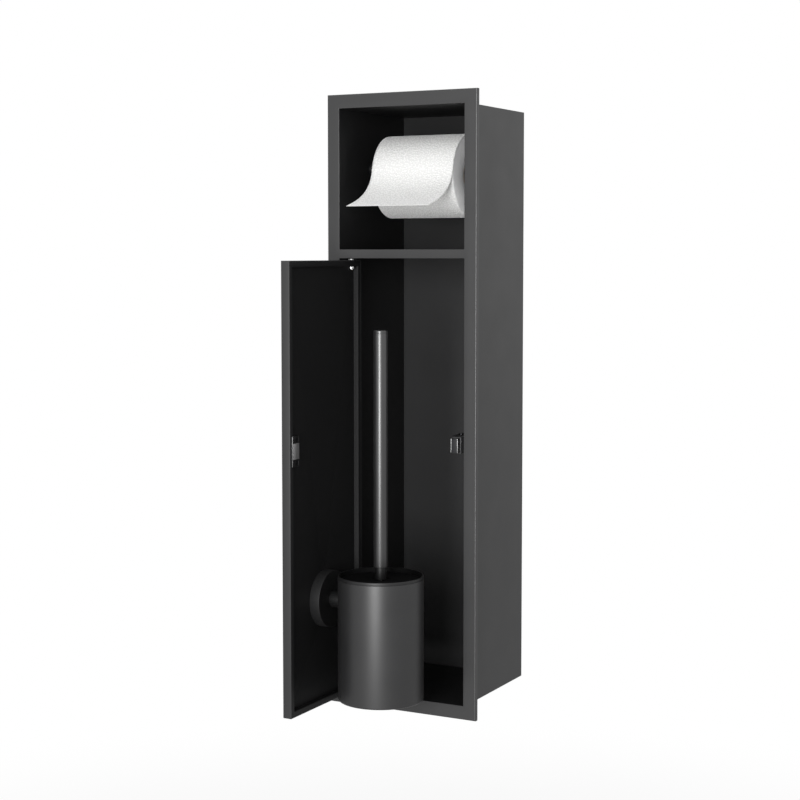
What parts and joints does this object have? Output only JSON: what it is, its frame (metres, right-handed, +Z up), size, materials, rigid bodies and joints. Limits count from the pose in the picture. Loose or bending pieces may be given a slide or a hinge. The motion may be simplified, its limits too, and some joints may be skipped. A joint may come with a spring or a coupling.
{
  "type": "recessed bathroom niche",
  "caption": "Recessed wall niche with an open compartment for a paper roll on a sprung roller, above a tall compartment closed by a hinged door that carries a toilet brush.",
  "frame": {"origin": "in the plane of the wall's surface, midway across the frame, level with the frame's lower edge", "axes": "+X along the wall to the viewer's right, +Y into the wall, +Z up"},
  "size_m": [0.1788, 0.2814, 0.664],
  "materials": {
    "frame_coat": "fine matt powder coat",
    "housing_coat": "fine matt powder coat",
    "door_coat": "fine matt powder coat",
    "holder_coat": "fine matt powder coat",
    "liner_plastic": "matt moulded plastic",
    "latch_plastic": "matt moulded plastic",
    "socket_plastic": "matt moulded plastic",
    "roller_plastic": "matt moulded plastic",
    "brush_plastic": "matt moulded plastic",
    "bristle_nylon": "nylon bristles",
    "bush_nylon": "nylon",
    "steel": "bright steel",
    "dark_screw": "blackened steel",
    "magnet_ferrite": "ground ferrite",
    "core_board": "pressed board",
    "core_card": "wound grey-brown card",
    "paper": "soft embossed white tissue"
  },
  "bodies": {
    "housing": {"front_frame": "frame_coat", "side_left": "housing_coat", "side_right": "housing_coat", "back_panel": "housing_coat", "top_panel": "housing_coat", "bottom_panel": "housing_coat", "divider_shelf": "housing_coat", "hinge_bush_top": "bush_nylon", "hinge_bush_bottom": "bush_nylon", "latch_bracket": "housing_coat", "latch_housing": "latch_plastic", "latch_screws": "steel", "latch_spring": "steel", "socket_left": "socket_plastic", "socket_right": "socket_plastic", "paper_tail": "paper"},
    "door": {"door_skin": "door_coat", "door_pan": "door_coat", "door_core": "core_board", "hinge_pin_top": "steel", "hinge_pin_bottom": "steel", "hinge_nuts": "steel", "hinge_washer": "steel", "strike_base": "latch_plastic", "strike_plate": "steel", "strike_screws": "dark_screw", "holder_foot": "steel", "foot_screws": "steel", "foot_cover": "holder_coat", "cover_set_screw": "steel", "holder_arm": "holder_coat", "brush_cup": "holder_coat", "cup_screw": "steel", "cup_liner": "liner_plastic"},
    "brush": {"brush_handle": "holder_coat", "handle_cap": "holder_coat", "handle_collar": "liner_plastic", "brush_lid": "liner_plastic", "brush_rod": "steel", "brush_spine": "brush_plastic", "brush_bristles": "bristle_nylon"},
    "latch": {"latch_carriage": "bush_nylon", "latch_magnet": "magnet_ferrite", "pole_plates": "steel"},
    "roller": {"roller_sleeve": "roller_plastic", "roller_spring": "steel"},
    "plunger": {"roller_plunger": "roller_plastic"},
    "roll": {"roll_core": "core_card", "paper_roll": "paper"}
  },
  "joints": [
    {"name": "door_swing", "type": "hinge", "parent": "housing", "child": "door", "pos_m": [-0.0626, 0, 0.2512], "axis": [0, 0, -1], "range_deg": [-90, 30]},
    {"name": "brush_lift", "type": "slide", "parent": "door", "child": "brush", "axis": [0, 0, 1], "range_m": [0, 0.07]},
    {"name": "latch_push", "type": "slide", "parent": "housing", "child": "latch", "axis": [0, 1, 0], "range_m": [0, 0.0035], "stiffness_N_per_m": 400, "springref_m": -0.002, "deforming": ["latch_spring"]},
    {"name": "roller_spin", "type": "hinge", "parent": "housing", "child": "roller", "pos_m": [0, 0.0656, 0.5874], "axis": [1, 0, 0], "continuous": true},
    {"name": "plunger_press", "type": "slide", "parent": "roller", "child": "plunger", "axis": [-1, 0, 0], "range_m": [0, 0.008], "stiffness_N_per_m": 250, "springref_m": -0.003, "deforming": ["roller_spring"]},
    {"name": "roll_spin", "type": "hinge", "parent": "housing", "child": "roll", "pos_m": [0, 0.0656, 0.5772], "axis": [1, 0, 0], "continuous": true}
  ]
}
